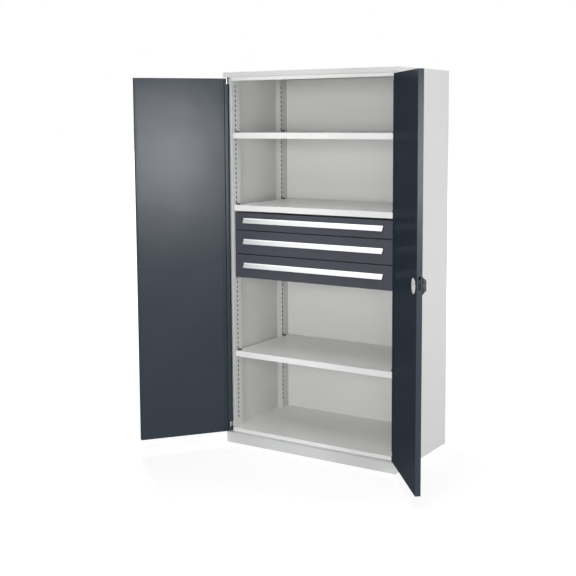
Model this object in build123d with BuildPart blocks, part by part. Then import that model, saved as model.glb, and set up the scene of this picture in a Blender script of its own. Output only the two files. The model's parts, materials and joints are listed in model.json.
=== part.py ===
from build123d import *
from math import atan, cos, pi, radians, sin, sqrt, tan
import os

# Tool cabinet with two hinged doors, three shelves and a block of three drawers.
# Frame: millimetres, origin on the floor under the middle of the carcass,
# +Z up, doors at -Y, +X to the right. The doors stand open and the drawers are shut.

os.makedirs("parts", exist_ok=True)

# Carcass
height = 1950
width = 1000
depth = 580
sheet = 1.5
cap_height = 25
plinth_height = 55
floor_level = 74
lintel_drop = 18
edge_fold = 20
back_recess = 28
back_lap = 15
support_width = 60
support_flange = 20

# Posts and their slots
post_width = 32.5
post_depth = 66
post_step = 14
post_shoulder = 30
rear_post_depth = 63
slot_pitch = 25
first_slot = 130
slot_width = 10
slot_height = 12.5
front_slot_inset = 33
rear_slot_inset = 7

# Shelves, hung in the slots counted from the lowest one
shelf_slots = {"lower": 14, "middle": 45, "upper": 60}
shelf_rise = 12
shelf_edge = 30
shelf_lip = 12
shelf_side_gap = 3
shelf_end_gap = 7
clip_width = 8
clip_foot = 18
clip_sheet = 1.5
clip_tongue = 6
clip_hook = 10
clip_play = 0.5

# Doors
door_thickness = 26
door_end_gap = 6
door_back_gap = 2
door_meeting_gap = 6
door_bend = 2
door_rim = 7
rim_gap = 0.5
groove_start = 13
groove_width = 21
groove_depth = 9
left_opening = 127.8
right_opening = 129.3
stiffener_place = 200
stiffener_width = 60
stiffener_flange = 14
stiffener_end_gap = 30

# Hinges
pin_radius = 5
running_gap = 0.05
pin_collar_radius = 8
pin_hole_play = 0.1
pin_foot = 4
pin_end_gap = 2
hinge_block = 24
hinge_block_tail = 12
hinge_window = 28
hinge_window_start = 22
hinge_window_tail = 9
hinge_window_wall = 6

# Lock
lock_height = 988
lock_setback = 54
tooth_module = 1.5
pinion_teeth = 17
pressure_angle = 20
backlash = 0.3
dedendum_factor = 1.25
rack_teeth = 8
rod_travel_turn = 90
bar_width = 8
bar_thickness = 4
rod_layer = -6
bolt_layer = 0
layer_play = 1
rod_crank_start = 62
rod_crank_rise = 50
rod_end_gap = 1
rod_slot_play = 1
guide_height = 12
guide_wall = 3
guide_play = 0.3
guide_end_gap = 40
guide_lock_gap = 320
keeper_length = 50
keeper_depth = 16
keeper_sheet = 2
case_wall = 1.5
case_high = 52
case_low = 54
case_length = 86
edge_slot_height = 57
edge_slot_width = 9.5
edge_slot_rise = 19
bolt_head_height = 30
bolt_head_length = 14
bolt_setback = 2
bolt_nose = 5
strike_margin = 14
disc_radius = 34
disc_height = 0.8
ring_radius = 39
ring_height = 1.5
knob_radius = 41
knob_height = 25
knob_rim = 7
knob_deck = 13
knob_deck_radius = 37
knob_bar_width = 28
knob_bar_length = 68
knob_crown_width = 23
knob_crown_length = 50
rosette_radius = 42
rosette_height = 3
hub_radius = 11
skin_hole_play = 1
spindle_side = 8
spindle_play = 0.1
spindle_tail = 2
key_slot_length = 9
key_slot_width = 1.6
key_slot_depth = 4
face_gap = 0.3
cylinder_radius = 9
cylinder_depth = 10
cylinder_proud = 1

# Drawers: the bays from the bottom up, and what each leaves free over its front
drawer_bays = {"bottom": 125, "middle": 125, "top": 100}
over_front = {"bottom": 1.5, "middle": 1.5, "top": 8}
under_front = 1.5
block_low_edge = 886
front_side_gap = 4.5
front_setback = 40
front_thickness = 18
front_inner_bend = 1
box_sheet = 1
box_back_gap = 17
box_floor_rise = 14
box_wall_drop = 22
handle_end_gap = 53
handle_drop = 21
handle_reach = 10.5
handle_sheet = 2
handle_flange = 5
handle_rise = 12
slide_height = 45
slide_thickness = 13.3
slide_sheet = 1.2
slide_gap = 0.5
slide_rise = 22
slide_front_gap = 2
carrier_end_gap = 4
carrier_flange = 12
carrier_edge = 2
hook_width = 8
hook_height = 10
hook_reach = 3

half_width = width / 2
front = -depth / 2
back = depth / 2
inner_half = half_width - sheet
slot_face = inner_half - post_width
post_front = front + door_thickness + door_back_gap
post_back = post_front + post_depth
back_wall = back - back_recess
rear_post_front = back_wall - rear_post_depth
cap_low = height - cap_height
ceiling = height - sheet
lintel_low = cap_low - lintel_drop
slot_count = int((lintel_low - slot_height - first_slot) / slot_pitch) + 1
slot_rows = (post_front + front_slot_inset, rear_post_front + rear_slot_inset)
shelf_front = post_front + shelf_end_gap
shelf_back = back_wall - shelf_end_gap
shelf_half = slot_face - shelf_side_gap

skin = door_thickness / 2
core = skin - sheet
pin_x = half_width - skin
pin_y = front + skin
door_low = plinth_height + door_end_gap
door_high = cap_low - door_end_gap
door_reach = pin_x - door_meeting_gap / 2
panel_start = groove_start + groove_width
panel_end = door_reach - door_rim - rim_gap

lock_u = door_reach - lock_setback
tooth_pitch = pi * tooth_module
pitch_radius = tooth_module * pinion_teeth / 2
root_radius = pitch_radius - dedendum_factor * tooth_module
bar_inner = pitch_radius + dedendum_factor * tooth_module
bar_centre = bar_inner + bar_width / 2
rod_travel = pitch_radius * radians(rod_travel_turn)
rod_x = pin_x - lock_u - bar_centre
rod_y = pin_y + rod_layer
pinion_outer = rod_layer - bar_thickness / 2 - layer_play
pinion_inner = bolt_layer + bar_thickness / 2 + layer_play

drawer_face = front + front_setback
block_high_edge = block_low_edge + sum(drawer_bays.values())
slide_room = slot_face - sheet
front_half = slide_room - front_side_gap
handle_half = front_half - handle_end_gap
box_half = slide_room - slide_thickness
front_inner = drawer_face + front_thickness
box_front = front_inner + box_sheet
box_back = back_wall - box_back_gap


def strip_section(points, inside, thickness=sheet):
    """Closed outline of a folded sheet whose outer skin runs through the points."""
    with BuildSketch() as section:
        with BuildLine():
            Polyline(*points)
            offset(amount=thickness, side=inside, kind=Kind.INTERSECTION)
        make_face()
    return section.sketch


def finish(piece, name):
    """Label a finished piece and write its file."""
    piece.part.label = name
    export_step(piece.part, f"parts/{name}.step")


def slot_z(index):
    """Height of a slot's centre, counted from the lowest slot."""
    return first_slot + index * slot_pitch


# Carcass sheets


def side_panel(side, name):
    """One sheet from floor to top: tabs beside cap and plinth, a fold at the back."""
    fold_low = plinth_height + back_lap
    with BuildPart() as panel:
        with BuildSketch(Plane.YZ.offset(side * half_width)):
            with BuildLine():
                Polyline(
                    (front, 0),
                    (back, 0),
                    (back, height),
                    (front, height),
                    (front, cap_low),
                    (post_front, cap_low),
                    (post_front, plinth_height),
                    (front, plinth_height),
                    close=True,
                )
            make_face()
        extrude(amount=-side * sheet)
        with BuildSketch(Plane.XY.offset(fold_low)):
            with Locations((side * (half_width - edge_fold / 2), back - sheet / 2)):
                Rectangle(edge_fold, sheet)
        extrude(amount=cap_low - back_lap - fold_low)
    finish(panel, name)


def keeper_slot(level):
    """Cut the slot for a lock rod through the ledge at this height."""
    with BuildSketch(Plane.XY.offset(level)) as slot:
        with Locations((rod_x, rod_y)):
            Rectangle(bar_width + 2 * rod_slot_play, bar_thickness + 2 * rod_slot_play)
    extrude(slot.sketch, amount=2 * sheet, both=True, mode=Mode.SUBTRACT)


def pin_holes(level):
    """Cut the holes for both hinge pins through the ledge at this height."""
    with BuildSketch(Plane.XY.offset(level)) as holes:
        with Locations((-pin_x, pin_y), (pin_x, pin_y)):
            Circle(pin_radius + pin_hole_play)
    extrude(holes.sketch, amount=2 * sheet, both=True, mode=Mode.SUBTRACT)


side_panel(-1, "side_panel_left")
side_panel(1, "side_panel_right")

with BuildPart() as top_panel:
    with BuildSketch(Plane.YZ.offset(-inner_half)):
        add(
            strip_section(
                [
                    (post_front, cap_low),
                    (front, cap_low),
                    (front, height),
                    (back, height),
                    (back, cap_low - back_lap),
                ],
                Side.RIGHT,
            )
        )
    extrude(amount=2 * inner_half)
    keeper_slot(cap_low)
    pin_holes(cap_low)
finish(top_panel, "top_panel")

with BuildPart() as top_rail:
    with BuildSketch(Plane.YZ.offset(-slot_face)):
        add(
            strip_section(
                [
                    (post_front + edge_fold, lintel_low),
                    (post_front, lintel_low),
                    (post_front, ceiling),
                ],
                Side.RIGHT,
            )
        )
    extrude(amount=2 * slot_face)
finish(top_rail, "top_rail")

with BuildPart() as plinth_front:
    with BuildSketch(Plane.YZ.offset(-inner_half)):
        add(
            strip_section(
                [
                    (post_front, plinth_height),
                    (front, plinth_height),
                    (front, 0),
                    (front + edge_fold, 0),
                ],
                Side.LEFT,
            )
        )
    extrude(amount=2 * inner_half)
    keeper_slot(plinth_height)
    pin_holes(plinth_height)
finish(plinth_front, "plinth_front")

with BuildPart() as plinth_rear:
    with BuildSketch(Plane.YZ.offset(-inner_half)):
        add(
            strip_section(
                [
                    (back, plinth_height + back_lap),
                    (back, 0),
                    (back - edge_fold, 0),
                ],
                Side.RIGHT,
            )
        )
    extrude(amount=2 * inner_half)
finish(plinth_rear, "plinth_rear")

with BuildPart() as floor_panel:
    with BuildSketch(Plane.YZ.offset(-inner_half)):
        add(
            strip_section(
                [
                    (post_front, plinth_height - sheet),
                    (post_front, floor_level),
                    (back_wall, floor_level),
                    (back_wall, plinth_height),
                ],
                Side.RIGHT,
            )
        )
    extrude(amount=2 * inner_half)
finish(floor_panel, "floor_panel")

with BuildPart() as floor_support:
    rib_top = floor_level - sheet
    rib_half = support_width / 2
    with BuildSketch(Plane.YZ.offset(-inner_half)):
        add(
            strip_section(
                [
                    (-rib_half - support_flange, rib_top),
                    (-rib_half, rib_top),
                    (-rib_half, sheet),
                    (rib_half, sheet),
                    (rib_half, rib_top),
                    (rib_half + support_flange, rib_top),
                ],
                Side.RIGHT,
            )
        )
    extrude(amount=2 * inner_half)
finish(floor_support, "floor_support")

with BuildPart() as back_panel:
    with BuildSketch(Plane.XZ.offset(-back_wall)):
        with Locations((0, (plinth_height + cap_low) / 2)):
            Rectangle(2 * inner_half, cap_low - plinth_height)
    extrude(amount=-(back_recess - sheet))
    offset(amount=-sheet, openings=back_panel.faces().sort_by(Axis.Y)[-1])
finish(back_panel, "back_panel")


# Posts


def cut_slots(side, row):
    """Cut the column of slots through the post's inner face."""
    with BuildSketch(Plane.YZ.offset(side * slot_face)) as column:
        with Locations((row, slot_z((slot_count - 1) / 2))):
            with GridLocations(slot_pitch, slot_pitch, 1, slot_count):
                Rectangle(slot_width, slot_height)
    extrude(column.sketch, amount=2 * sheet, both=True, mode=Mode.SUBTRACT)


def post(side, points, row, name):
    """Folded sheet between floor panel and top, with its column of slots."""
    inside = Side.LEFT if side < 0 else Side.RIGHT
    with BuildPart() as upright:
        with BuildSketch(Plane.XY.offset(floor_level)):
            add(strip_section([(side * x, y) for x, y in points], inside))
        extrude(amount=ceiling - floor_level)
        cut_slots(side, row)
    finish(upright, name)


front_post_points = [
    (inner_half, post_front),
    (slot_face, post_front),
    (slot_face, post_back),
    (slot_face + post_step, post_back),
    (slot_face + post_step, post_back + post_shoulder),
    (inner_half, post_back + post_shoulder),
]
rear_post_points = [
    (inner_half, rear_post_front),
    (slot_face, rear_post_front),
    (slot_face, back_wall),
]
for side, hand in ((-1, "left"), (1, "right")):
    post(side, front_post_points, slot_rows[0], f"post_front_{hand}")
    post(side, rear_post_points, slot_rows[1], f"post_rear_{hand}")


# Shelves and their clips


def shelf_top(name):
    return slot_z(shelf_slots[name]) + shelf_rise


def shelf(name):
    """Folded tray: front and back edges turned down and in, side flanges turned down."""
    top = shelf_top(name)
    low = top - shelf_edge
    with BuildPart() as tray:
        with BuildSketch(Plane.YZ.offset(-shelf_half)):
            add(
                strip_section(
                    [
                        (shelf_front + shelf_lip, low),
                        (shelf_front, low),
                        (shelf_front, top),
                        (shelf_back, top),
                        (shelf_back, low),
                        (shelf_back - shelf_lip, low),
                    ],
                    Side.RIGHT,
                )
            )
        extrude(amount=2 * shelf_half)
        with BuildSketch(Plane.XY.offset(low)):
            with GridLocations(2 * shelf_half - sheet, 0, 2, 1):
                Rectangle(sheet, shelf_back - shelf_front)
        extrude(amount=shelf_edge - sheet)
    finish(tray, f"shelf_{name}")


def clip_points(side, low):
    """Side view of a clip: foot under the shelf, tongue through a slot, hook behind it."""
    outer = slot_face
    inner = outer - clip_sheet
    behind = outer + sheet + clip_play
    tongue_low = low + shelf_edge - shelf_rise - clip_tongue / 2
    tongue_high = tongue_low + clip_tongue
    profile = [
        (inner - clip_foot, low - clip_sheet),
        (outer, low - clip_sheet),
        (outer, tongue_low),
        (behind, tongue_low),
        (behind, tongue_low - clip_hook),
        (behind + clip_sheet, tongue_low - clip_hook),
        (behind + clip_sheet, tongue_high),
        (inner, tongue_high),
        (inner, low),
        (inner - clip_foot, low),
    ]
    return [(side * x, z) for x, z in profile]


for name in shelf_slots:
    shelf(name)

with BuildPart() as shelf_clips:
    for name in shelf_slots:
        for row in slot_rows:
            with BuildSketch(Plane.XZ.offset(-row)):
                for side in (-1, 1):
                    with BuildLine():
                        Polyline(*clip_points(side, shelf_top(name) - shelf_edge), close=True)
                    make_face()
            extrude(amount=clip_width / 2, both=True)
finish(shelf_clips, "shelf_clips")


# Doors. A door is drawn in its own frame: u runs from the hinge pin to the free edge,
# w is measured from the middle of the door's thickness towards the inner face.


class DoorFrame:
    """Planes of one door as it stands open."""

    def __init__(self, side, opening):
        self.side = side
        self.inward = -side
        turn = radians(-opening if side < 0 else 180 + opening)
        self.along = Vector(cos(turn), sin(turn), 0)
        self.inner = Vector(-sin(turn), cos(turn), 0) * self.inward
        self.pin = Vector(side * pin_x, pin_y, 0)

    def level(self, z, u=0):
        """Horizontal plane at a height, with its origin u away from the pin."""
        place = self.pin + self.along * u + Vector(0, 0, z)
        return Plane(origin=place, x_dir=self.along, z_dir=(0, 0, 1))

    def face(self, w, u=0, z=0):
        """Upright plane at depth w, facing the inner side of the door."""
        place = self.pin + self.along * u + self.inner * w + Vector(0, 0, z)
        return Plane(origin=place, x_dir=self.along, z_dir=self.inner)

    def points(self, profile):
        return [(u, self.inward * w) for u, w in profile]


left = DoorFrame(-1, left_opening)
right = DoorFrame(1, right_opening)
windows = (
    (door_low + hinge_window_start, door_low + hinge_window_start + hinge_window),
    (door_high - sheet - hinge_window, door_high - sheet),
)
block_spans = (
    (door_low + sheet, windows[0][0]),
    (windows[0][1], windows[0][1] + hinge_block),
    (windows[1][0] - hinge_block, windows[1][0]),
)
edge_slot_centre = lock_height + edge_slot_rise


def cut_edge_slot(door):
    """Cut the bolt's slot through the free edge."""
    with BuildSketch(door.level(edge_slot_centre - edge_slot_height / 2)) as mouth:
        with Locations((door_reach, 0)):
            Rectangle(4 * sheet, edge_slot_width)
    extrude(mouth.sketch, amount=edge_slot_height, mode=Mode.SUBTRACT)


def cut_rod_slots(door):
    """Cut the slots for the lock rods through both end folds."""
    with BuildSketch(door.level(door_low)) as slots:
        with Locations((lock_u + bar_centre, door.inward * rod_layer)):
            Rectangle(bar_width + 2 * rod_slot_play, bar_thickness + 2 * rod_slot_play)
    extrude(slots.sketch, amount=door_high - door_low, mode=Mode.SUBTRACT)


def door_pan(door, name):
    """Outer skin with folded edges, a half-round hinge edge and a groove beside it."""
    body = door_high - door_low
    with BuildPart() as pan:
        with BuildSketch(door.level(door_low)):
            Circle(skin)
            with Locations((door_reach / 2, 0)):
                Rectangle(door_reach, door_thickness)
        extrude(amount=body)
        free_edges = pan.edges().filter_by(Axis.Z).sort_by(SortBy.DISTANCE)[-2:]
        fillet(free_edges, radius=door_bend)
        with BuildSketch(door.level(door_low + sheet)):
            Circle(core)
            with Locations(((door_reach - sheet) / 2, 0)):
                Rectangle(door_reach - sheet, 2 * core)
        extrude(amount=body - 2 * sheet, mode=Mode.SUBTRACT)
        mouth = door_reach - door_rim - groove_start
        with BuildSketch(door.level(door_low + door_rim)):
            with Locations((groove_start + mouth / 2, door.inward * skin)):
                Rectangle(mouth, 2 * door_bend)
        extrude(amount=body - 2 * door_rim, mode=Mode.SUBTRACT)
        groove_floor = skin - groove_depth
        with BuildSketch(door.level(door_low + sheet)):
            with Locations((groove_start + groove_width / 2, door.inward * (groove_floor - sheet / 2))):
                Rectangle(groove_width, sheet)
            with Locations((groove_start + sheet / 2, door.inward * (groove_floor + groove_depth / 2))):
                Rectangle(sheet, groove_depth)
        extrude(amount=body - 2 * sheet)
        window_width = hinge_window_tail + skin
        window_depth = skin + hinge_window_wall
        for low, high in windows:
            with BuildSketch(door.level(low, (hinge_window_tail - skin) / 2)):
                with Locations((0, door.inward * (window_depth / 2 - hinge_window_wall))):
                    Rectangle(window_width, window_depth)
            extrude(amount=high - low, mode=Mode.SUBTRACT)
        with BuildSketch(door.level(door_low)):
            Circle(pin_radius + rod_slot_play)
        extrude(amount=body, mode=Mode.SUBTRACT)
        cut_edge_slot(door)
        if door is right:
            cut_rod_slots(door)
            with BuildSketch(door.face(-core, lock_u, lock_height)):
                Circle(hub_radius + skin_hole_play)
            extrude(amount=-2 * sheet, mode=Mode.SUBTRACT)
    finish(pan, name)


def door_inner_panel(door, name):
    """Flat inner skin with both long edges turned back to the outer skin."""
    inside = Side.RIGHT if door.inward > 0 else Side.LEFT
    low = door_low + door_rim + rim_gap
    high = door_high - door_rim - rim_gap
    with BuildPart() as panel:
        with BuildSketch(door.level(low)):
            add(
                strip_section(
                    door.points(
                        [
                            (panel_start, -core),
                            (panel_start, skin),
                            (panel_end, skin),
                            (panel_end, -core),
                        ]
                    ),
                    inside,
                )
            )
        extrude(amount=high - low)
        with BuildSketch(door.level(lock_height - case_low)):
            with Locations((panel_end, 0)):
                Rectangle(3 * sheet, 2 * core)
        extrude(amount=case_low + case_high, mode=Mode.SUBTRACT)
    finish(panel, name)


def door_hinge_blocks(door, name):
    """Bored blocks behind the rounded edge; the pins run in them."""
    with BuildPart() as blocks:
        for low, high in block_spans:
            with BuildSketch(door.level(low)):
                Circle(core - pin_hole_play)
                with Locations((hinge_block_tail / 2, 0)):
                    Rectangle(hinge_block_tail, 2 * core)
                Circle(pin_radius + running_gap, mode=Mode.SUBTRACT)
            extrude(amount=high - low)
    finish(blocks, name)


def door_stiffener(door, name):
    """Hat section between the two skins."""
    inside = Side.LEFT if door.inward > 0 else Side.RIGHT
    far = stiffener_place + stiffener_width
    with BuildPart() as hat:
        with BuildSketch(door.level(door_low + stiffener_end_gap)):
            add(
                strip_section(
                    door.points(
                        [
                            (stiffener_place - stiffener_flange, -core),
                            (stiffener_place, -core),
                            (stiffener_place, core - sheet),
                            (far, core - sheet),
                            (far, -core),
                            (far + stiffener_flange, -core),
                        ]
                    ),
                    inside,
                )
            )
        extrude(amount=door_high - door_low - 2 * stiffener_end_gap)
    finish(hat, name)


for door, hand in ((left, "left"), (right, "right")):
    door_pan(door, f"door_{hand}_pan")
    door_inner_panel(door, f"door_{hand}_inner_panel")
    door_hinge_blocks(door, f"door_{hand}_hinge_blocks")
    door_stiffener(door, f"door_{hand}_stiffener")

with BuildPart() as hinge_pins:
    for side in (-1, 1):
        low_pin = block_spans[1][1] - pin_end_gap
        high_pin = block_spans[2][0] + pin_end_gap
        with BuildSketch(Plane.XY.offset(plinth_height - pin_foot)):
            with Locations((side * pin_x, pin_y)):
                Circle(pin_radius)
        extrude(amount=low_pin - plinth_height + pin_foot)
        with BuildSketch(Plane.XY.offset(plinth_height)):
            with Locations((side * pin_x, pin_y)):
                Circle(pin_collar_radius)
        extrude(amount=door_end_gap - face_gap)
        with BuildSketch(Plane.XY.offset(high_pin)):
            with Locations((side * pin_x, pin_y)):
                Circle(pin_radius)
        extrude(amount=cap_low + sheet - high_pin)
        with BuildSketch(Plane.XY.offset(cap_low + sheet)):
            with Locations((side * pin_x, pin_y)):
                Circle(pin_collar_radius)
        extrude(amount=pin_foot)
finish(hinge_pins, "hinge_pins")

with BuildPart() as rod_keepers:
    for level in (plinth_height - sheet - keeper_sheet, cap_low + sheet):
        with BuildSketch(Plane.XY.offset(level)):
            with Locations((rod_x, front + sheet + keeper_depth / 2)):
                Rectangle(keeper_length, keeper_depth)
            with Locations((rod_x, rod_y)):
                Rectangle(
                    bar_width + 2 * rod_slot_play,
                    bar_thickness + 2 * rod_slot_play,
                    mode=Mode.SUBTRACT,
                )
        extrude(amount=keeper_sheet)
finish(rod_keepers, "rod_keepers")

with BuildPart() as strike_plate:
    with BuildSketch(left.level(edge_slot_centre - edge_slot_height / 2 - strike_margin)):
        with Locations((door_reach - 1.5 * sheet, 0)):
            Rectangle(sheet, 2 * core - 2 * sheet)
    extrude(amount=edge_slot_height + 2 * strike_margin)
    cut_edge_slot(left)
finish(strike_plate, "strike_plate")


# Lock: a pinion on the knob's spindle drives two rods and a bolt as racks


def pinion_tooth():
    """One involute tooth of the pinion, pointing along the first axis."""
    slope = radians(pressure_angle)
    base_radius = pitch_radius * cos(slope)
    tip_radius = pitch_radius + tooth_module
    involute_at_pitch = tan(slope) - slope
    half_angle = (tooth_pitch / 4 - backlash / 4) / pitch_radius + involute_at_pitch
    tip_roll = sqrt((tip_radius / base_radius) ** 2 - 1)
    flank = []
    for roll in (0, tip_roll / 2, tip_roll):
        reach = base_radius * sqrt(1 + roll**2)
        angle = half_angle - (roll - atan(roll))
        flank.append((reach * cos(angle), reach * sin(angle)))
    mirrored = [(x, -y) for x, y in flank]
    root = (root_radius - tooth_module) / base_radius
    foot = (flank[0][0] * root, flank[0][1] * root)
    with BuildSketch() as tooth:
        with BuildLine():
            ThreePointArc(*flank)
            Line(flank[-1], mirrored[-1])
            ThreePointArc(*mirrored)
            Line(mirrored[0], (foot[0], -foot[1]))
            Line((foot[0], -foot[1]), foot)
            Line(foot, flank[0])
        make_face()
    return tooth.sketch


def rack_row(gap_centre):
    """Row of rack teeth with a gap at the given place, roots up on the bar at +Y."""
    lean = tan(radians(pressure_angle))
    half = tooth_pitch / 4 - backlash / 4
    root_y = bar_inner
    tip_y = pitch_radius - tooth_module
    tip_half = half - tooth_module * lean
    root_half = half + (root_y - pitch_radius) * lean
    with BuildSketch() as tooth:
        with BuildLine():
            Polyline(
                (-tip_half, tip_y),
                (tip_half, tip_y),
                (root_half, root_y),
                (-root_half, root_y),
                close=True,
            )
        make_face()
    with BuildSketch() as row:
        with Locations((gap_centre, 0)):
            with GridLocations(tooth_pitch, 0, rack_teeth, 1):
                add(tooth.sketch)
    return row.sketch


with BuildPart() as lock_pinion:
    with BuildSketch(right.face(pinion_outer, lock_u, lock_height)):
        Circle(root_radius)
        with PolarLocations(0, pinion_teeth):
            add(pinion_tooth())
        Rectangle(spindle_side + spindle_play, spindle_side + spindle_play, mode=Mode.SUBTRACT)
    extrude(amount=pinion_inner - pinion_outer)
finish(lock_pinion, "lock_pinion")

# In these faces X runs to the free edge and Y runs up. Each row of teeth lies half a
# stroke behind the pinion, so that it stays in mesh over its whole travel.
half_stroke = rod_travel / 2
bar_tail = half_stroke + tooth_pitch * rack_teeth / 2 + tooth_module
whole_pitches = tooth_pitch * int(half_stroke / tooth_pitch)
upper_gap = -whole_pitches - tooth_pitch / 2
lower_gap = -whole_pitches
bolt_gap = -whole_pitches + tooth_pitch / 4

with BuildPart() as lock_rod_upper:
    rod_top = door_high - rod_end_gap - lock_height
    crank_top = rod_crank_start + rod_crank_rise
    with BuildSketch(right.face(rod_layer - bar_thickness / 2, lock_u, lock_height)):
        with BuildLine():
            Polyline(
                (-bar_inner - bar_width, -bar_tail),
                (-bar_inner, -bar_tail),
                (-bar_inner, rod_crank_start),
                (bar_inner + bar_width, crank_top),
                (bar_inner + bar_width, rod_top),
                (bar_inner, rod_top),
                (bar_inner, crank_top + bar_width / 2),
                (-bar_inner - bar_width, rod_crank_start + bar_width / 2),
                close=True,
            )
        make_face()
        add(rack_row(upper_gap), rotation=90)
    extrude(amount=bar_thickness)
finish(lock_rod_upper, "lock_rod_upper")

with BuildPart() as lock_rod_lower:
    rod_foot = door_low + rod_end_gap - lock_height
    with BuildSketch(right.face(rod_layer - bar_thickness / 2, lock_u, lock_height)):
        with Locations((bar_centre, (bar_tail + rod_foot) / 2)):
            Rectangle(bar_width, bar_tail - rod_foot)
        add(rack_row(lower_gap), rotation=-90)
    extrude(amount=bar_thickness)
finish(lock_rod_lower, "lock_rod_lower")

with BuildPart() as latch_bolt:
    bolt_end = door_reach - bolt_setback - lock_u
    head_start = bolt_end - bolt_head_length
    head_low = edge_slot_centre - lock_height - bolt_head_height / 2
    with BuildSketch(right.face(bolt_layer - bar_thickness / 2, lock_u, lock_height)):
        with BuildLine():
            Polyline(
                (-bar_tail, bar_inner),
                (head_start, bar_inner),
                (head_start, head_low),
                (bolt_end - bolt_nose, head_low),
                (bolt_end, head_low + bolt_nose),
                (bolt_end, head_low + bolt_head_height),
                (head_start, head_low + bolt_head_height),
                (head_start, bar_inner + bar_width),
                (-bar_tail, bar_inner + bar_width),
                close=True,
            )
        make_face()
        add(rack_row(bolt_gap))
    extrude(amount=bar_thickness)
finish(latch_bolt, "latch_bolt")

with BuildPart() as lock_case:
    case_middle = door_reach - sheet - case_length / 2
    case_size = case_high + case_low
    with BuildSketch(right.face(-core, case_middle, lock_height + (case_high - case_low) / 2)):
        Rectangle(case_length, case_size)
    extrude(amount=2 * core)
    with BuildSketch(right.face(case_wall - core, case_middle, lock_height + (case_high - case_low) / 2)):
        Rectangle(case_length - 2 * case_wall, case_size - 2 * case_wall)
    extrude(amount=2 * core, mode=Mode.SUBTRACT)
    with BuildSketch(right.face(-core, lock_u, lock_height)):
        Circle(hub_radius + running_gap)
    extrude(amount=case_wall, mode=Mode.SUBTRACT)
    for level, place in ((lock_height - case_low, bar_centre), (lock_height + case_high, -bar_centre)):
        with BuildSketch(right.level(level, lock_u)):
            with Locations((place, right.inward * rod_layer)):
                Rectangle(bar_width + 2 * rod_slot_play, bar_thickness + 2 * rod_slot_play)
        extrude(amount=2 * case_wall, both=True, mode=Mode.SUBTRACT)
    cut_edge_slot(right)
finish(lock_case, "lock_case")

with BuildPart() as rod_guides:
    guide_levels = (
        door_low + guide_end_gap,
        lock_height - guide_lock_gap,
        lock_height + guide_lock_gap,
        door_high - guide_end_gap,
    )
    guide_top = rod_layer + bar_thickness / 2 + guide_wall
    guide_middle = (guide_top - core) / 2
    for level in guide_levels:
        with BuildSketch(right.level(level - guide_height / 2, lock_u + bar_centre)):
            with Locations((0, right.inward * guide_middle)):
                Rectangle(bar_width + 2 * guide_wall, guide_top + core)
            with Locations((0, right.inward * rod_layer)):
                Rectangle(
                    bar_width + 2 * guide_play,
                    bar_thickness + 2 * guide_play,
                    mode=Mode.SUBTRACT,
                )
        extrude(amount=guide_height)
finish(rod_guides, "rod_guides")

with BuildPart() as lock_ring:
    with BuildSketch(right.face(skin, lock_u, lock_height)):
        Circle(ring_radius)
    extrude(amount=ring_height)
finish(lock_ring, "lock_ring")

with BuildPart() as lock_disc:
    with BuildSketch(right.face(skin + ring_height, lock_u, lock_height)):
        Circle(disc_radius)
    extrude(amount=disc_height)
finish(lock_disc, "lock_disc")

# The knob and its rose stand on the outer face; in this plane Y points outwards.
knob_plane = right.level(lock_height, lock_u)
knob_axis = Axis(knob_plane.origin, right.inner)
rose_top = skin + rosette_height
knob_base = rose_top + face_gap
knob_top = knob_base + knob_height
hub_end = face_gap - pinion_outer

with BuildPart() as lock_rosette:
    with BuildSketch(right.face(-rose_top, lock_u, lock_height)):
        Circle(rosette_radius)
        Circle(hub_radius + running_gap, mode=Mode.SUBTRACT)
    extrude(amount=rosette_height)
    chamfer(lock_rosette.edges().sort_by(Axis(right.pin, right.inner))[0], length=rosette_height / 3)
finish(lock_rosette, "lock_rosette")

with BuildPart() as lock_knob:
    with BuildSketch(knob_plane):
        with BuildLine():
            Polyline(
                (0, hub_end),
                (hub_radius, hub_end),
                (hub_radius, knob_base),
                (knob_radius, knob_base),
                (knob_radius, knob_base + knob_rim),
                (knob_deck_radius, knob_base + knob_deck),
                (0, knob_base + knob_deck),
                close=True,
            )
        make_face()
    revolve(axis=knob_axis)
    with BuildSketch(right.face(-knob_base - knob_deck, lock_u, lock_height)):
        Rectangle(knob_bar_width, knob_bar_length)
    with BuildSketch(right.face(-knob_top, lock_u, lock_height)):
        Rectangle(knob_crown_width, knob_crown_length)
    loft(ruled=True)
    with BuildSketch(right.face(-knob_top + cylinder_depth, lock_u, lock_height)):
        Circle(cylinder_radius + running_gap)
    extrude(amount=-2 * cylinder_depth, mode=Mode.SUBTRACT)
    with BuildSketch(right.face(-hub_end, lock_u, lock_height)):
        Rectangle(spindle_side + spindle_play, spindle_side + spindle_play)
    extrude(amount=-(knob_base - hub_end), mode=Mode.SUBTRACT)
finish(lock_knob, "lock_knob")

with BuildPart() as lock_spindle:
    with BuildSketch(right.face(face_gap - knob_base, lock_u, lock_height)):
        Rectangle(spindle_side, spindle_side)
    extrude(amount=knob_base - face_gap + pinion_inner + spindle_tail)
finish(lock_spindle, "lock_spindle")

with BuildPart() as lock_cylinder:
    with BuildSketch(right.face(-knob_top + cylinder_depth - face_gap, lock_u, lock_height)):
        Circle(cylinder_radius)
    extrude(amount=-(cylinder_depth - face_gap + cylinder_proud))
    with BuildSketch(right.face(-knob_top - cylinder_proud, lock_u, lock_height)):
        Rectangle(key_slot_width, key_slot_length)
    extrude(amount=key_slot_depth, mode=Mode.SUBTRACT)
finish(lock_cylinder, "lock_cylinder")


# Drawers


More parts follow.
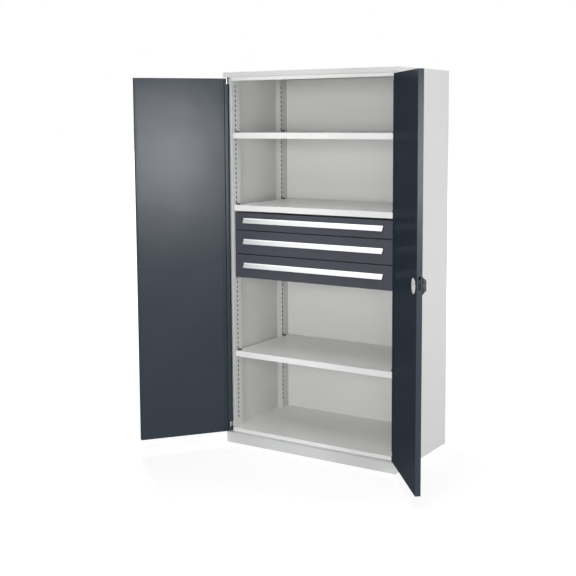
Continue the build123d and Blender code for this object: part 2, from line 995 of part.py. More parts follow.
def slide_piece(side, low, outer, depth_across, tall, opens_inward):
    """Channel of one telescopic slide, between two distances from the middle."""
    inner = outer - depth_across
    web = outer - slide_sheet / 2 if opens_inward else inner + slide_sheet / 2
    with BuildSketch(Plane.XZ.offset(-slide_front)) as channel:
        with Locations((side * web, low + tall / 2)):
            Rectangle(slide_sheet, tall)
        for lip in (low + slide_sheet / 2, low + tall - slide_sheet / 2):
            with Locations((side * (inner + outer) / 2, lip)):
                Rectangle(depth_across, slide_sheet)
    extrude(channel.sketch, amount=-(slide_back - slide_front))


def drawer_front(low, high, name):
    """Front tray: flat face with all four edges turned back."""
    with BuildPart() as tray:
        with BuildSketch(Plane.XZ.offset(-drawer_face)):
            with Locations((0, (low + high) / 2)):
                Rectangle(2 * front_half, high - low)
        extrude(amount=-front_thickness)
        fillet(tray.faces().sort_by(Axis.Y)[0].edges(), radius=sheet + front_inner_bend)
        offset(amount=-sheet, openings=tray.faces().sort_by(Axis.Y)[-1])
    finish(tray, f"drawer_{name}_front")


def drawer_box(low, high, front_low, front_high, name):
    """Open-topped box of welded flat sheets; the first one closes the hollow front."""
    wall_low = low + box_sheet
    middle = (box_front + box_back) / 2
    with BuildPart() as front_sheet:
        with BuildSketch(Plane.XZ.offset(-front_inner)):
            with Locations((0, (front_low + front_high) / 2)):
                Rectangle(2 * front_half, front_high - front_low)
        extrude(amount=-box_sheet)
    with BuildPart() as base:
        with BuildSketch(Plane.XY.offset(low)):
            with Locations((0, middle)):
                Rectangle(2 * box_half, box_back - box_front)
        extrude(amount=box_sheet)
    with BuildPart() as side_walls:
        with BuildSketch(Plane.XY.offset(wall_low)):
            for side in (-1, 1):
                with Locations((side * (box_half - box_sheet / 2), middle)):
                    Rectangle(box_sheet, box_back - box_front)
        extrude(amount=high - wall_low)
    with BuildPart() as rear_wall:
        with BuildSketch(Plane.XY.offset(wall_low)):
            with Locations((0, box_back - box_sheet / 2)):
                Rectangle(2 * (box_half - box_sheet), box_sheet)
        extrude(amount=high - wall_low)
    box = Compound([*front_sheet.solids(), *base.solids(), *side_walls.solids(), *rear_wall.solids()])
    box.label = f"drawer_{name}_box"
    export_step(box, f"parts/{box.label}.step")


def drawer_handle(middle, name):
    """Full-width strip: a flange on the front and a plate slanting out over the fingers."""
    top = middle + handle_rise
    with BuildPart() as strip:
        with BuildSketch(Plane.YZ.offset(-handle_half)):
            add(
                strip_section(
                    [
                        (drawer_face, top + handle_flange),
                        (drawer_face, top),
                        (drawer_face - handle_reach, top - handle_drop),
                    ],
                    Side.RIGHT,
                    handle_sheet,
                )
            )
        extrude(amount=2 * handle_half)
    finish(strip, f"drawer_{name}_handle")


slide_front = front_inner + slide_front_gap
slide_back = box_back
bay_low = block_low_edge
slide_lows = []
for name, bay in drawer_bays.items():
    front_low = bay_low + under_front
    front_high = bay_low + bay - over_front[name]
    drawer_front(front_low, front_high, name)
    drawer_handle((front_low + front_high) / 2, name)
    box_top = bay_low + bay - box_wall_drop
    drawer_box(bay_low + box_floor_rise, box_top, front_low, front_high, name)
    slide_lows.append((name, bay_low + slide_rise))
    bay_low += bay

middle_tall = slide_height - 2 * (slide_sheet + slide_gap)
inner_tall = middle_tall - 2 * (slide_sheet + slide_gap)
cabinet_across = slide_thickness - slide_sheet - slide_gap
middle_outer = slide_room - slide_sheet - slide_gap
inner_outer = middle_outer - slide_sheet - slide_gap
rail_across = inner_outer - box_half

with BuildPart() as cabinet_rails:
    for name, low in slide_lows:
        for side in (-1, 1):
            slide_piece(side, low, slide_room, cabinet_across, slide_height, True)
finish(cabinet_rails, "cabinet_rails")

for name, low in slide_lows:
    middle_low = low + slide_sheet + slide_gap
    inner_low = middle_low + slide_sheet + slide_gap
    with BuildPart() as slide:
        for side in (-1, 1):
            slide_piece(side, middle_low, middle_outer, rail_across, middle_tall, True)
    finish(slide, f"slide_{name}")
    with BuildPart() as rails:
        for side in (-1, 1):
            slide_piece(side, inner_low, inner_outer, rail_across, inner_tall, False)
    finish(rails, f"drawer_{name}_rails")


def carrier(side, name):
    """Side plate between two posts, hooked into their slots, that carries the slides."""
    low = block_low_edge + carrier_edge
    high = block_high_edge - carrier_edge
    start = post_front + carrier_end_gap
    end = back_wall - carrier_end_gap
    flange_start = post_back + carrier_end_gap
    flange_end = rear_post_front - carrier_end_gap
    with BuildPart() as plate:
        with BuildSketch(Plane.YZ.offset(side * slide_room)):
            with Locations(((start + end) / 2, (low + high) / 2)):
                Rectangle(end - start, high - low)
        extrude(amount=side * sheet)
        with BuildSketch(Plane.YZ.offset(side * slot_face)):
            for level in (low + sheet / 2, high - sheet / 2):
                with Locations(((flange_start + flange_end) / 2, level)):
                    Rectangle(flange_end - flange_start, sheet)
        extrude(amount=side * carrier_flange)
        hooked = [
            slot_z(index)
            for index in range(slot_count)
            if low + slot_height < slot_z(index) < high - slot_height
        ]
        with BuildSketch(Plane.YZ.offset(side * slot_face)):
            with Locations(*[(row, z) for row in slot_rows for z in (hooked[0], hooked[-1])]):
                Rectangle(hook_width, hook_height)
        extrude(amount=side * hook_reach)
    finish(plate, name)


carrier(-1, "drawer_carrier_left")
carrier(1, "drawer_carrier_right")
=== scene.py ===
import json
import math

import bmesh
import bpy
from mathutils import Matrix, Vector


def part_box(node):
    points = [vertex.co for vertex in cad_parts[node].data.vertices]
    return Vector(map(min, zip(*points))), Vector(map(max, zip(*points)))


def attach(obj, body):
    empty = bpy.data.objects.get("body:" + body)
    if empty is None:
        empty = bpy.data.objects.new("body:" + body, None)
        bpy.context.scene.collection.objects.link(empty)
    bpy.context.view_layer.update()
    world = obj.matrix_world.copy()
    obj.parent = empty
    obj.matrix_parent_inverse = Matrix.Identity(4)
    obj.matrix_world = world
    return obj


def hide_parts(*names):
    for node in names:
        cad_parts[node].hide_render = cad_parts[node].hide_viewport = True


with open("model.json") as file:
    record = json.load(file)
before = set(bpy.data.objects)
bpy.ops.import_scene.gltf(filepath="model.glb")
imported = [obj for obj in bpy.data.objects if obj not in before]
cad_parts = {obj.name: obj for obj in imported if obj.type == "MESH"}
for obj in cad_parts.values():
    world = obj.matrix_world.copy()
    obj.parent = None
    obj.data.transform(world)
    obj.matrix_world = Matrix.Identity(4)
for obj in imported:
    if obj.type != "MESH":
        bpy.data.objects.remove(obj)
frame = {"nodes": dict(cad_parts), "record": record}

scene = bpy.context.scene
nodes = frame["nodes"]
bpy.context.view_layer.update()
print("frame loaded,", len(nodes), "nodes")


class Wire:  # an output socket that takes part in sums
    def __init__(self, sheet, socket):
        self.sheet = sheet
        self.socket = socket

    def twin(self, name):  # another output of the same node
        return Wire(self.sheet, self.socket.node.outputs[name])

    def math(self, operation, first, second=0.0):
        return self.sheet.add("ShaderNodeMath", {"operation": operation}, {0: first, 1: second})

    def __add__(self, other):
        return self.math("ADD", self, other)

    def __radd__(self, other):
        return self.math("ADD", other, self)

    def __sub__(self, other):
        return self.math("SUBTRACT", self, other)

    def __rsub__(self, other):
        return self.math("SUBTRACT", other, self)

    def __mul__(self, other):
        return self.math("MULTIPLY", self, other)

    def larger(self, other):
        return self.math("MAXIMUM", self, other)


class NodeSheet:  # the node tree of one material or of the world
    def __init__(self, owner):
        owner.use_nodes = True
        self.tree = owner.node_tree
        self.tree.nodes.clear()

    def add(self, kind, settings=None, sockets=None, output=0):
        node = self.tree.nodes.new(kind)
        for name, value in (settings or {}).items():
            if name == "stops":
                self.fillRamp(node.color_ramp, value)
            else:
                setattr(node, name, value)
        for name, value in (sockets or {}).items():
            if isinstance(value, Wire):
                self.tree.links.new(value.socket, node.inputs[name])
            else:
                node.inputs[name].default_value = value
        return Wire(self, node.outputs[output]) if node.outputs else None

    def fillRamp(self, ramp, stops):
        while len(ramp.elements) < len(stops):
            ramp.elements.new(1.0)
        for element, (place, shade) in zip(ramp.elements, stops):
            element.position = place
            element.color = (shade, shade, shade, 1.0)

    def ramp(self, value, stops):
        return self.add("ShaderNodeValToRGB", {"stops": stops}, {"Fac": value})

    def mix(self, share, first, second):  # colours only
        return self.add("ShaderNodeMix", {"data_type": "RGBA"}, {0: share, 6: first, 7: second}, 2)

    def noise(self, spot, scale, detail=2.0, roughness=0.5):
        sockets = {"Vector": spot, "Scale": scale, "Detail": detail, "Roughness": roughness}
        return self.add("ShaderNodeTexNoise", None, sockets)

    def stretched(self, spot, scales):
        return self.add("ShaderNodeMapping", None, {"Vector": spot, "Scale": scales})

    def bump(self, height, strength, distance, normal=None):
        sockets = {"Height": height, "Strength": strength, "Distance": distance}
        if normal:
            sockets["Normal"] = normal
        return self.add("ShaderNodeBump", None, sockets)


def tinted(rgb, gain=1.0):
    return (rgb[0] * gain, rgb[1] * gain, rgb[2] * gain, 1.0)


def newFinish(name):
    material = bpy.data.materials.new(name)
    sheet = NodeSheet(material)
    spot = sheet.add("ShaderNodeTexCoord", output="Object")
    return material, sheet, spot


def closeFinish(sheet, sockets, gloss=0.0):
    shader = sheet.add("ShaderNodeBsdfPrincipled", None, sockets)
    if gloss:  # a plain sheen that doesn't grow at flat angles, as on a rough coat
        shine = {name: sockets[name] for name in ("Roughness", "Normal")}
        sheen = sheet.add("ShaderNodeBsdfGlossy", None, {"Color": tinted((1.0, 1.0, 1.0)), **shine})
        shader = sheet.add("ShaderNodeMixShader", None, {0: gloss, 1: shader, 2: sheen})
    sheet.add("ShaderNodeOutputMaterial", None, {"Surface": shader})


# Powder coat: a fine orange peel, cloudy gloss, and folds lighter in colour: partly paint that thins there,
# partly a painted highlight.
paints = {
    "carcassPaint": {
        "color": (0.640, 0.649, 0.638),
        "tone": 0.035,
        "roughness": 0.42,
        "glossDrift": 0.10,
        "specular": 0.35,
        "gloss": 0.0,
        "foldSheenAndWearGain": 1.10,
    },
    "shelfPaint": {
        "color": (0.87, 0.872, 0.86),
        "tone": 0.03,
        "roughness": 0.30,
        "glossDrift": 0.08,
        "specular": 0.45,
        "gloss": 0.0,
        "foldSheenAndWearGain": 1.08,
    },
    # The back panel's paint: the carcass paint made lighter, painted light that stands for the light
    # reaching the inside.
    "backPanelLitPaint": {
        "color": (0.785, 0.79, 0.777),
        "tone": 0.03,
        "roughness": 0.42,
        "glossDrift": 0.10,
        "specular": 0.35,
        "gloss": 0.0,
        "foldSheenAndWearGain": 1.08,
    },
    "doorPaint": {
        "color": (0.027, 0.037, 0.051),
        "tone": 0.12,
        "roughness": 0.23,
        "glossDrift": 0.05,
        "specular": 0.0,
        "gloss": 0.017,
        "foldSheenAndWearGain": 1.5,
    },
    "drawerPaint": {
        "color": (0.057, 0.060, 0.078),
        "tone": 0.08,
        "roughness": 0.42,
        "glossDrift": 0.08,
        "specular": 0.0,
        "gloss": 0.02,
        "foldSheenAndWearGain": 1.4,
    },
}
peel = {
    "grainScale": 420.0,  # bumps per metre
    "grainHeight": 0.00006,
    "waveScale": 5.0,
    "waveHeight": 0.0012,
    "cloudScale": 3.0,
    "edgeRadius": 0.0012,
    "grainGloss": 0.05,
}


def paintFinish(name, look):
    material, sheet, spot = newFinish(name)
    cloud = sheet.noise(spot, peel["cloudScale"], 4.0, 0.6)
    grain = sheet.noise(spot, peel["grainScale"], 2.0)
    wave = sheet.noise(spot, peel["waveScale"], 1.0)
    rounded = sheet.add("ShaderNodeBevel", {"samples": 4}, {"Radius": peel["edgeRadius"]})
    plain = sheet.add("ShaderNodeNewGeometry", output="Normal")
    facing = sheet.add(
        "ShaderNodeVectorMath", {"operation": "DOT_PRODUCT"}, {0: rounded, 1: plain}, "Value"
    )
    # The fold mask; the gain lifts the folds' colour: partly paint thinned there, partly a painted
    # highlight.
    edge = sheet.ramp(1.0 - facing, [(0.01, 0.0), (0.20, 1.0)])
    shade = sheet.mix(
        cloud,
        tinted(look["color"], 1.0 - look["tone"]),
        tinted(look["color"], 1.0 + look["tone"]),
    )
    color = sheet.mix(edge, shade, tinted(look["color"], look["foldSheenAndWearGain"]))
    waved = sheet.bump(wave, 1.0, peel["waveHeight"], rounded)
    closeFinish(
        sheet,
        {
            "Base Color": color,
            "Roughness": look["roughness"]
            + (cloud - 0.5) * look["glossDrift"]
            + (grain - 0.5) * peel["grainGloss"],
            "Specular IOR Level": look["specular"],
            "Normal": sheet.bump(grain, 1.0, peel["grainHeight"], waved),
        },
        look["gloss"],
    )
    return material


# Bare metals: brushed along one axis, with a cloudy tone.
metals = {
    "zincSteel": {
        "color": (0.62, 0.63, 0.64),
        "tone": 0.14,
        "roughness": 0.36,
        "brush": (60.0, 12.0, 60.0),
        "scratch": 0.00002,
        "cloudScale": 45.0,
    },
    "handleAluminium": {
        "color": (0.93, 0.935, 0.94),
        "tone": 0.02,
        "roughness": 0.42,
        "brush": (6.0, 900.0, 900.0),
        "scratch": 0.00002,
        "cloudScale": 6.0,
    },
    "blackenedSteel": {
        "color": (0.040, 0.041, 0.046),
        "tone": 0.20,
        "roughness": 0.46,
        "brush": (80.0, 80.0, 30.0),
        "scratch": 0.00002,
        "cloudScale": 60.0,
    },
    "nickelFace": {
        "color": (0.66, 0.65, 0.62),
        "tone": 0.06,
        "roughness": 0.24,
        "brush": (900.0, 900.0, 40.0),
        "scratch": 0.00001,
        "cloudScale": 80.0,
    },
}
metalGloss = {"brush": 0.16, "cloud": 0.08}  # how far each moves the roughness


def metalFinish(name, look):
    material, sheet, spot = newFinish(name)
    cloud = sheet.noise(spot, look["cloudScale"], 3.0, 0.55)
    brushed = sheet.noise(sheet.stretched(spot, look["brush"]), 1.0, 5.0, 0.7)
    closeFinish(
        sheet,
        {
            "Base Color": sheet.mix(
                cloud,
                tinted(look["color"], 1.0 - look["tone"]),
                tinted(look["color"], 1.0 + look["tone"]),
            ),
            "Metallic": 1.0,
            "Roughness": look["roughness"]
            + (brushed - 0.5) * metalGloss["brush"]
            + (cloud - 0.5) * metalGloss["cloud"],
            "Normal": sheet.bump(brushed, 1.0, look["scratch"]),
        },
    )
    return material


# Moulded plastics: a spark-eroded grain with slightly polished high spots.
plastics = {
    "blackPlastic": {
        "color": (0.012, 0.012, 0.014),
        "roughness": 0.42,
        "grainScale": 1600.0,
        "grainHeight": 0.00005,
    },
    "whitePlastic": {
        "color": (0.93, 0.935, 0.95),
        "roughness": 0.28,
        "grainScale": 700.0,
        "grainHeight": 0.00001,
    },
}
moulding = {"cloudScale": 30.0, "tone": 0.08, "grainGloss": 0.12, "cloudGloss": 0.06}


def plasticFinish(name, look):
    material, sheet, spot = newFinish(name)
    grain = sheet.noise(spot, look["grainScale"], 3.0, 0.6)
    cloud = sheet.noise(spot, moulding["cloudScale"], 2.0)
    closeFinish(
        sheet,
        {
            "Base Color": sheet.mix(
                cloud,
                tinted(look["color"], 1.0 - moulding["tone"]),
                tinted(look["color"], 1.0 + moulding["tone"]),
            ),
            "Roughness": look["roughness"]
            + (grain - 0.5) * moulding["grainGloss"]
            + (cloud - 0.5) * moulding["cloudGloss"],
            "Normal": sheet.bump(grain, 1.0, look["grainHeight"]),
        },
    )
    return material


finishes = {}
for name, look in paints.items():
    finishes[name] = paintFinish(name, look)
for name, look in metals.items():
    finishes[name] = metalFinish(name, look)
for name, look in plastics.items():
    finishes[name] = plasticFinish(name, look)

slotFinishes = {
    "carcass_paint": "carcassPaint",
    "shelf_paint": "shelfPaint",
    "door_paint": "doorPaint",
    "handle_aluminium": "handleAluminium",
    "zinc_steel": "zincSteel",
    "nickel": "nickelFace",
    "black_plastic": "blackPlastic",
    "white_plastic": "whitePlastic",
}
nodeFinishes = {  # pieces whose finish differs from their slot's
    # the back panel gets a lighter copy of the carcass paint, painted light for the lit inside
    "back_panel": "backPanelLitPaint",
    "latch_bolt": "blackenedSteel",
    "strike_plate": "blackenedSteel",
    "lock_case": "blackenedSteel",
    "drawer_top_front": "drawerPaint",
    "drawer_middle_front": "drawerPaint",
    "drawer_bottom_front": "drawerPaint",
}


def dressNode(name, finish):
    for slot in nodes[name].material_slots:
        slot.material = finishes[finish]


for part in frame["record"]["subparts"]:
    name = part["node"]
    dressNode(name, nodeFinishes.get(name, slotFinishes[part["material_slot"]]))
print("finishes made and put on the nodes")


# Pieces in mesh code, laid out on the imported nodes.
creaseAngle = 40.0  # degrees, a sharper fold than this stays an edge
segments = {"large": 72, "small": 32, "tiny": 24}  # points round one ring


def newPiece(name, points, faces, finish, body):
    mesh = bpy.data.meshes.new(name)
    shell = bmesh.new()
    corners = [shell.verts.new(point) for point in points]
    for face in faces:
        shell.faces.new([corners[index] for index in face])
    bmesh.ops.recalc_face_normals(shell, faces=shell.faces)
    shell.to_mesh(mesh)
    shell.free()
    mesh.polygons.foreach_set("use_smooth", [True] * len(mesh.polygons))
    mesh.set_sharp_from_angle(angle=math.radians(creaseAngle))
    mesh.materials.append(finishes[finish])
    piece = bpy.data.objects.new(name, mesh)
    scene.collection.objects.link(piece)
    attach(piece, body)
    return piece


class Bench:  # gathers the points and faces of one piece, each form in its own place
    def __init__(self):
        self.points = []
        self.faces = []

    def ring(self, place, spots):
        first = len(self.points)
        self.points += [place @ Vector(spot) for spot in spots]
        return list(range(first, len(self.points)))

    def band(self, low, high):
        count = len(low)
        for index in range(count):
            after = (index + 1) % count
            self.faces.append((low[index], low[after], high[after], high[index]))

    def stack(self, place, rings):  # a closed skin through a row of rings
        laid = [self.ring(place, ring) for ring in rings]
        for low, high in zip(laid, laid[1:]):
            self.band(low, high)
        self.faces += [tuple(laid[0]), tuple(reversed(laid[-1]))]


def roundRing(halfAcross, halfUp, level, count, power=2.0):  # an oval; a larger power is squarer
    spots = []
    for index in range(count):
        angle = 2.0 * math.pi * index / count
        across, up = math.cos(angle), math.sin(angle)
        reach = (abs(across) ** power + abs(up) ** power) ** (-1.0 / power)
        spots.append((halfAcross * across * reach, halfUp * up * reach, level))
    return spots


def turnedRings(profile, count):
    return [roundRing(radius, radius, level, count) for radius, level in profile]


doors = {
    "hinge": (0.487, -0.277),
    "leftOpening": 127.8,  # degrees
    "rightOpening": 129.3,
    "reach": 0.484,
    "lock": (0.430, 0.988),  # along the door and up
}


def doorPlace(side, along, height, outward=0.0):  # axes: along the door, up, out of its outer face
    turn = math.radians(doors["rightOpening"] if side > 0 else -doors["leftOpening"])
    spin = Matrix.Rotation(turn, 3, "Z")
    axes = (spin @ Vector((-side, 0.0, 0.0)), Vector((0.0, 0.0, 1.0)), spin @ Vector((0.0, -1.0, 0.0)))
    hinge = Vector((side * doors["hinge"][0], doors["hinge"][1], height))
    spot = hinge + axes[0] * along + axes[2] * outward
    return Matrix.Translation(spot) @ Matrix(axes).transposed().to_4x4()


# Lock handle: a dished disc with a tapered grip bar and a well round the key cylinder.
handleLook = {
    "disc": [  # radius and distance from the door's middle
        (0.0392, 0.0163), (0.0403, 0.0166), (0.0409, 0.0174), (0.0410, 0.0190), (0.0410, 0.0222),
        (0.0407, 0.0240), (0.0400, 0.0258), (0.0388, 0.0273), (0.0370, 0.0285), (0.0345, 0.0291),
        (0.0300, 0.0291), (0.0150, 0.0289), (0.0040, 0.0289),
    ],
    "bar": [  # half width, half length, distance
        (0.0158, 0.0358, 0.0287), (0.0148, 0.0348, 0.0292), (0.0140, 0.0338, 0.0302),
        (0.0134, 0.0320, 0.0325), (0.0128, 0.0297, 0.0355), (0.0123, 0.0274, 0.0385),
        (0.0120, 0.0262, 0.0401), (0.0115, 0.0254, 0.0409), (0.0106, 0.0244, 0.0413),
    ],
    "barPower": 3.6,
    "well": [(0.0097, 0.0413), (0.0095, 0.0411), (0.0094, 0.0403), (0.0040, 0.0403)],
}


def makeHandle(look):
    place = doorPlace(1.0, *doors["lock"])
    count = segments["large"]
    bench = Bench()
    bench.stack(place, turnedRings(look["disc"], count))
    rings = [roundRing(*spot, count, look["barPower"]) for spot in look["bar"]]
    bench.stack(place, rings + turnedRings(look["well"], count))
    piece = newPiece("lockHandle", bench.points, bench.faces, "blackPlastic", "lock_handle")
    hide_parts("lock_knob")


makeHandle(handleLook)

# Lock cover on the door's inner face: a rounded black ring round a white disc.
coverLook = {
    "ring": [
        (0.0390, 0.0130), (0.0390, 0.0138), (0.0387, 0.0142), (0.0381, 0.0145),
        (0.0356, 0.0145), (0.0349, 0.0142), (0.0344, 0.0137), (0.0300, 0.0137),
    ],
    "disc": [
        (0.0340, 0.0137), (0.0340, 0.0148), (0.0337, 0.0151), (0.0331, 0.01525),
        (0.0150, 0.0153), (0.0040, 0.0153),
    ],
}


def makeCover(look):
    place = doorPlace(1.0, *doors["lock"])
    for name, profile, finish, slot, node in (
        ("lockCoverRing", look["ring"], "blackPlastic", "black_plastic", "lock_ring"),
        ("lockCoverDisc", look["disc"], "whitePlastic", "white_plastic", "lock_disc"),
    ):
        bench = Bench()
        inward = [(radius, -level) for radius, level in profile]
        bench.stack(place, turnedRings(inward, segments["large"]))
        piece = newPiece(name, bench.points, bench.faces, finish, "right_door")
        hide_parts(node)


makeCover(coverLook)
print("lock handle and cover made")

# Screws with a cross recess in the free edges of the doors.
screwLook = {
    "radius": 0.0034,
    "profile": [
        (1.0, 0.0), (0.96, 0.10), (0.82, 0.17), (0.58, 0.21), (0.50, 0.21), (0.24, 0.22), (0.08, 0.22),
    ],
    "recess": 0.16,  # depth over radius
    "recessSpan": 0.5,  # the recess's reach over radius
    "crossShare": 0.42,
    "leftHeights": (0.9715, 1.0425),
    "rightHeights": (0.948, 0.966),
}


def addScrew(bench, place, look):
    rings = []
    for share, rise in look["profile"]:
        radius = share * look["radius"]
        ring = roundRing(radius, radius, rise * look["radius"], segments["small"])
        if share <= look["recessSpan"]:
            ring = [sunkSpot(spot, look) for spot in ring]
        rings.append(ring)
    bench.stack(place, rings)


def sunkSpot(spot, look):  # points in the arms of the cross lie lower
    across, up, level = spot
    inArm = abs(across * up) * 4.0 < look["crossShare"] * (across**2 + up**2)
    return (across, up, level - look["recess"] * look["radius"]) if inArm else spot


def makeEdgeScrews(look):
    for name, side, heights, body in (
        ("strikeScrews", -1.0, look["leftHeights"], "left_door"),
        ("lockScrews", 1.0, look["rightHeights"], "right_door"),
    ):
        bench = Bench()
        for height in heights:
            edge = doorPlace(side, doors["reach"], height)
            facing = edge @ Matrix.Rotation(math.radians(90.0), 4, "Y")  # turned to look out of the edge
            addScrew(bench, facing, look)
        newPiece(name, bench.points, bench.faces, "blackenedSteel", body)


makeEdgeScrews(screwLook)

# Rivets that hold the rails to the drawers' side walls, seen inside the box; makeRivets is defined here but
# never called, so none are made.
rivetLook = {
    "profile": [(0.0031, 0.0), (0.0030, 0.0004), (0.0025, 0.0008), (0.0015, 0.0011), (0.0005, 0.0012)],
    "spots": (-0.19, 0.0, 0.19),
    "halfBox": 0.4512,
    "wall": 0.001,
}


def makeRivets(look):
    for drawer in ("top", "middle", "bottom"):
        railLow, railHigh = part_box("drawer_" + drawer + "_rails")
        height = (railLow[2] + railHigh[2]) / 2.0
        bench = Bench()
        for side in (-1.0, 1.0):
            inner = side * (look["halfBox"] - look["wall"])
            for spot in look["spots"]:
                facing = Matrix.Rotation(math.radians(-90.0 * side), 4, "Y")  # heads look into the box
                place = Matrix.Translation((inner, spot, height)) @ facing
                bench.stack(place, turnedRings(look["profile"], segments["tiny"]))
        newPiece(
            "rivets_" + drawer, bench.points, bench.faces, "zincSteel", "drawer_" + drawer
        )


# Keepers: moulded tabs that lock the shelves' corners down, and black sheets inside the posts just behind
# the slots, painted shade for the dark hollow of each post.
keeperLook = {
    "half": (0.0105, 0.0058),  # across and from front to back
    "face": 0.466,
    "rise": 0.0066,
    "power": 5.0,
    "rows": (-0.229, 0.206),
    "rounding": [(1.0, 0.0), (1.0, 0.60), (0.97, 0.82), (0.88, 0.96), (0.74, 1.0)],
    "shelves": ("shelf_upper", "shelf_middle", "shelf_lower"),
}
# Where the sheets of painted shade sit inside the posts.
postShadeLook = {
    "depth": (0.0019, 0.0046),  # behind the post's face
    "low": 0.120,
    "high": 1.890,
    "thickness": 0.0006,
    "spans": {"front": (-0.246, -0.208), "rear": (0.2008, 0.228)},
}


def makeKeepers(look):
    bench = Bench()
    across, along = look["half"]
    for shelf in look["shelves"]:
        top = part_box(shelf)[1][2]
        for side in (-1.0, 1.0):
            for row in look["rows"]:
                place = Matrix.Translation((side * (look["face"] - across), row, top))
                rings = [
                    roundRing(
                        across * share, along * share, rise * look["rise"], segments["small"], look["power"]
                    )
                    for share, rise in look["rounding"]
                ]
                bench.stack(place, rings)
    newPiece("shelfKeepers", bench.points, bench.faces, "blackPlastic", "carcass")


# Black sheets just behind the slots of the posts: painted shade that stands for the unlit inside of each
# post.
def makePostShade(look):
    near, far = (keeperLook["face"] + depth for depth in look["depth"])
    skin = look["thickness"]
    bench = Bench()
    for side in (-1.0, 1.0):
        for front, back in look["spans"].values():
            channel = [
                (near, front), (near, front + skin), (far - skin, front + skin), (far - skin, back - skin),
                (near, back - skin), (near, back), (far, back), (far, front),
            ]
            rings = [[(side * x, y, level) for x, y in channel] for level in (look["low"], look["high"])]
            bench.stack(Matrix.Identity(4), rings)
    newPiece("postShadeSheets", bench.points, bench.faces, "blackPlastic", "carcass")


makeKeepers(keeperLook)
makePostShade(postShadeLook)
print("screws, keepers and shadeSheets made")


# Camera: about 30 degrees to the right of the front, looking slightly down.
cameraLook = {
    "place": (2.72405, -4.69552, 1.71280),
    "yaw": -32.732,  # degrees, turned from straight on
    "pitch": -6.4,
    "roll": -0.3387,
    "lens": 65.550,
    "sensor": 36.0,
    "shift": -0.09,
}


def makeCamera(look):
    data = bpy.data.cameras.new("mainCamera")
    data.lens = look["lens"]
    data.sensor_width = look["sensor"]
    data.shift_y = look["shift"]
    camera = bpy.data.objects.new("mainCamera", data)
    scene.collection.objects.link(camera)
    yaw, pitch, roll = (math.radians(look[turn]) for turn in ("yaw", "pitch", "roll"))
    sight = Vector((math.sin(yaw) * math.cos(pitch), math.cos(yaw) * math.cos(pitch), math.sin(pitch)))
    level = Vector((math.cos(yaw), -math.sin(yaw), 0.0))
    upright = level.cross(sight)
    across = level * math.cos(roll) + upright * math.sin(roll)
    upward = upright * math.cos(roll) - level * math.sin(roll)
    turn = Matrix((across, upward, -sight)).transposed()
    camera.matrix_world = Matrix.Translation(look["place"]) @ turn.to_4x4()
    scene.camera = camera


makeCamera(cameraLook)

# Studio: white air, a pale floor and soft boxes.
studio = {
    "air": 0.04,  # level that lights the object
    "airColor": (1.0, 1.0, 1.0, 1.0),
    "floorColor": (0.86, 0.86, 0.86, 1.0),
    "floorCloud": (1.5, 1.02),  # scale, and the lighter patches' gain
    "glow": 1.48,
    "glowShare": 0.50,  # share of plain white that is seen on the floor near the object
    "glowSpan": (1.2, 5.0),  # metres over which the floor fades to plain white
    "floorHalf": 40.0,
}
softBoxes = {
    "frontBox": {"place": (1.2, -8.0, 1.9), "aim": (0.0, 0.0, 1.1), "size": (3.4, 2.4), "watts": 195.0},
    "cameraBox": {"place": (4.0, -6.5, 1.9), "aim": (0.0, 0.0, 1.1), "size": (2.4, 2.4), "watts": 75.0},
    "doorBox": {"place": (4.77, -3.04, 1.35), "aim": (-0.3, -0.3, 1.2), "size": (0.9, 1.1), "watts": 75.0},
    "sideBox": {"place": (6.0, 0.6, 1.6), "aim": (0.3, 0.0, 1.0), "size": (1.6, 1.6), "watts": 120.0},
    "topBox": {"place": (1.0, -2.0, 5.0), "aim": (0.0, 0.0, 1.0), "size": (3.0, 3.0), "watts": 75.0},
    "leftBox": {"place": (-4.5, -3.4, 1.5), "aim": (0.4, -0.3, 1.0), "size": (1.6, 1.6), "watts": 35.0},
    "backBox": {"place": (-3.4, 2.6, 2.6), "aim": (0.3, -0.2, 1.5), "size": (1.6, 1.6), "watts": 140.0},
}


def seenShare(sheet):  # 1 for rays that come straight from the eye or by a mirror or glass
    path = sheet.add("ShaderNodeLightPath", output="Is Camera Ray")
    return path.larger(path.twin("Is Glossy Ray")).larger(path.twin("Is Transmission Ray"))


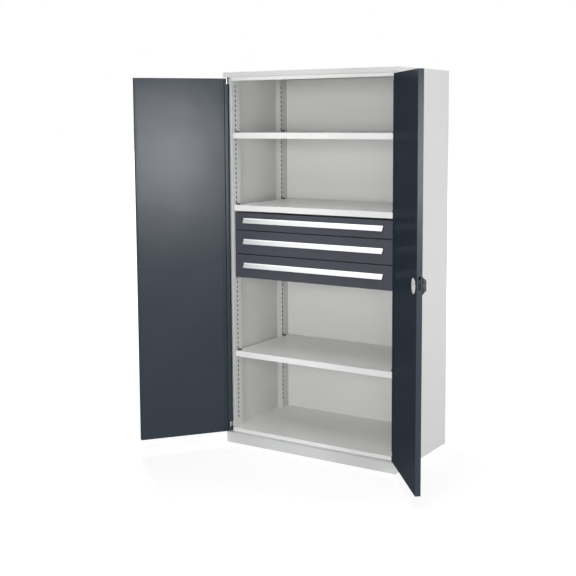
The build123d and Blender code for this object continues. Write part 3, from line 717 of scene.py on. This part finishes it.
def makeAir(look):
    world = bpy.data.worlds.new("studioAir")
    scene.world = world
    sheet = NodeSheet(world)
    seen = seenShare(sheet)
    strength = seen * (1.0 - look["air"]) + look["air"]
    air = sheet.add("ShaderNodeBackground", None, {"Color": look["airColor"], "Strength": strength})
    sheet.add("ShaderNodeOutputWorld", None, {"Surface": air})


def makeFloor(look):
    half = look["floorHalf"]
    mesh = bpy.data.meshes.new("studioFloor")
    corners = [(-half, -half, 0), (half, -half, 0), (half, half, 0), (-half, half, 0)]
    mesh.from_pydata(corners, [], [(0, 1, 2, 3)])
    floor = bpy.data.objects.new("studioFloor", mesh)
    scene.collection.objects.link(floor)
    material, sheet, spot = newFinish("studioFloor")
    cloudScale, cloudGain = look["floorCloud"]
    cloud = sheet.noise(spot, cloudScale, 3.0)
    color = sheet.mix(cloud, look["floorColor"], tinted(look["floorColor"], cloudGain))
    matt = sheet.add("ShaderNodeBsdfDiffuse", None, {"Color": color})
    glow = sheet.add("ShaderNodeEmission", None, {"Color": look["airColor"], "Strength": look["glow"]})
    distance = sheet.add("ShaderNodeVectorMath", {"operation": "LENGTH"}, {0: spot}, "Value")
    start, end = look["glowSpan"]
    fade = sheet.add(
        "ShaderNodeMapRange",
        {"interpolation_type": "SMOOTHSTEP"},
        {"Value": distance, "From Min": start, "From Max": end, "To Min": look["glowShare"], "To Max": 1.0},
    )
    share = seenShare(sheet) * fade
    shown = sheet.add("ShaderNodeMixShader", None, {0: share, 1: matt, 2: glow})
    sheet.add("ShaderNodeOutputMaterial", None, {"Surface": shown})
    mesh.materials.append(material)


def makeSoftBox(name, look):
    data = bpy.data.lights.new(name, "AREA")
    data.shape = "RECTANGLE"
    data.size, data.size_y = look["size"]
    data.energy = look["watts"]
    lamp = bpy.data.objects.new(name, data)
    scene.collection.objects.link(lamp)
    toward = Vector(look["aim"]) - Vector(look["place"])
    lamp.location = look["place"]
    lamp.rotation_euler = toward.to_track_quat("-Z", "Y").to_euler()
    lamp.visible_camera = False


makeAir(studio)
makeFloor(studio)
for name, look in softBoxes.items():
    makeSoftBox(name, look)
scene.view_settings.view_transform = "Standard"
print("studio ready")
